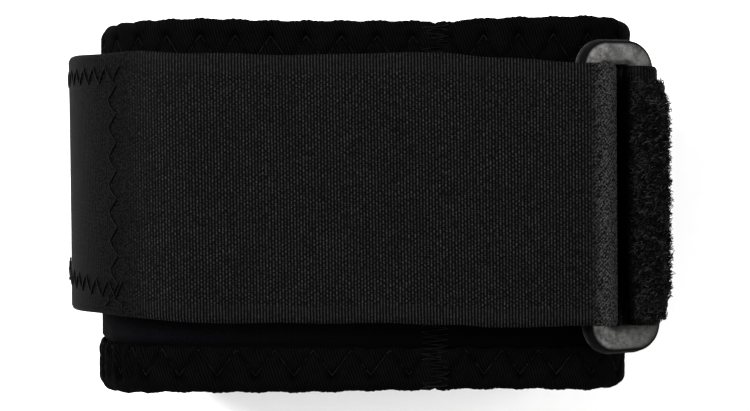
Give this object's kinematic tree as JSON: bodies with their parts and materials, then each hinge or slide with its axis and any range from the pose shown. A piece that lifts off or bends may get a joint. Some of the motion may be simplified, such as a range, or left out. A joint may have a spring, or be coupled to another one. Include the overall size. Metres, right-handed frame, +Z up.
{
  "type": "tennis elbow strap",
  "caption": "Tubular foam elbow support with knitted bindings, wrapped by a hook-and-loop pull strap that folds back through a rectangular moulded ring.",
  "frame": {"origin": "middle of the bounding box in X and Y, on the surface that the strap lies on", "axes": "+Z up, from the back of the strap to its front; the arm goes through along Y, +Y towards the upper rim; +X to the right of a viewer looking down at the front, where the ring is"},
  "size_m": [0.1176, 0.07, 0.063],
  "materials": {
    "sleeve_jersey": "matt black knitted jersey laminated to both faces of a thin rubber foam",
    "binding_knit": "matt black ribbed knit binding, sewn on with a wide grey zigzag",
    "strap_tape": "charcoal ribbed knit backing of loop tape with a faint sheen and black zigzag stitching",
    "hook_tape": "black hook tape",
    "pile_tape": "black loop tape with a thick soft pile",
    "ring_plastic": "worn dark grey moulded plastic with a soft shine"
  },
  "bodies": {
    "root": {"neoprene_sleeve": "sleeve_jersey", "upper_binding": "binding_knit", "lower_binding": "binding_knit", "strap": "strap_tape", "hook_patch": "hook_tape", "ring_loop": "pile_tape", "ring": "ring_plastic"}
  },
  "joints": []
}
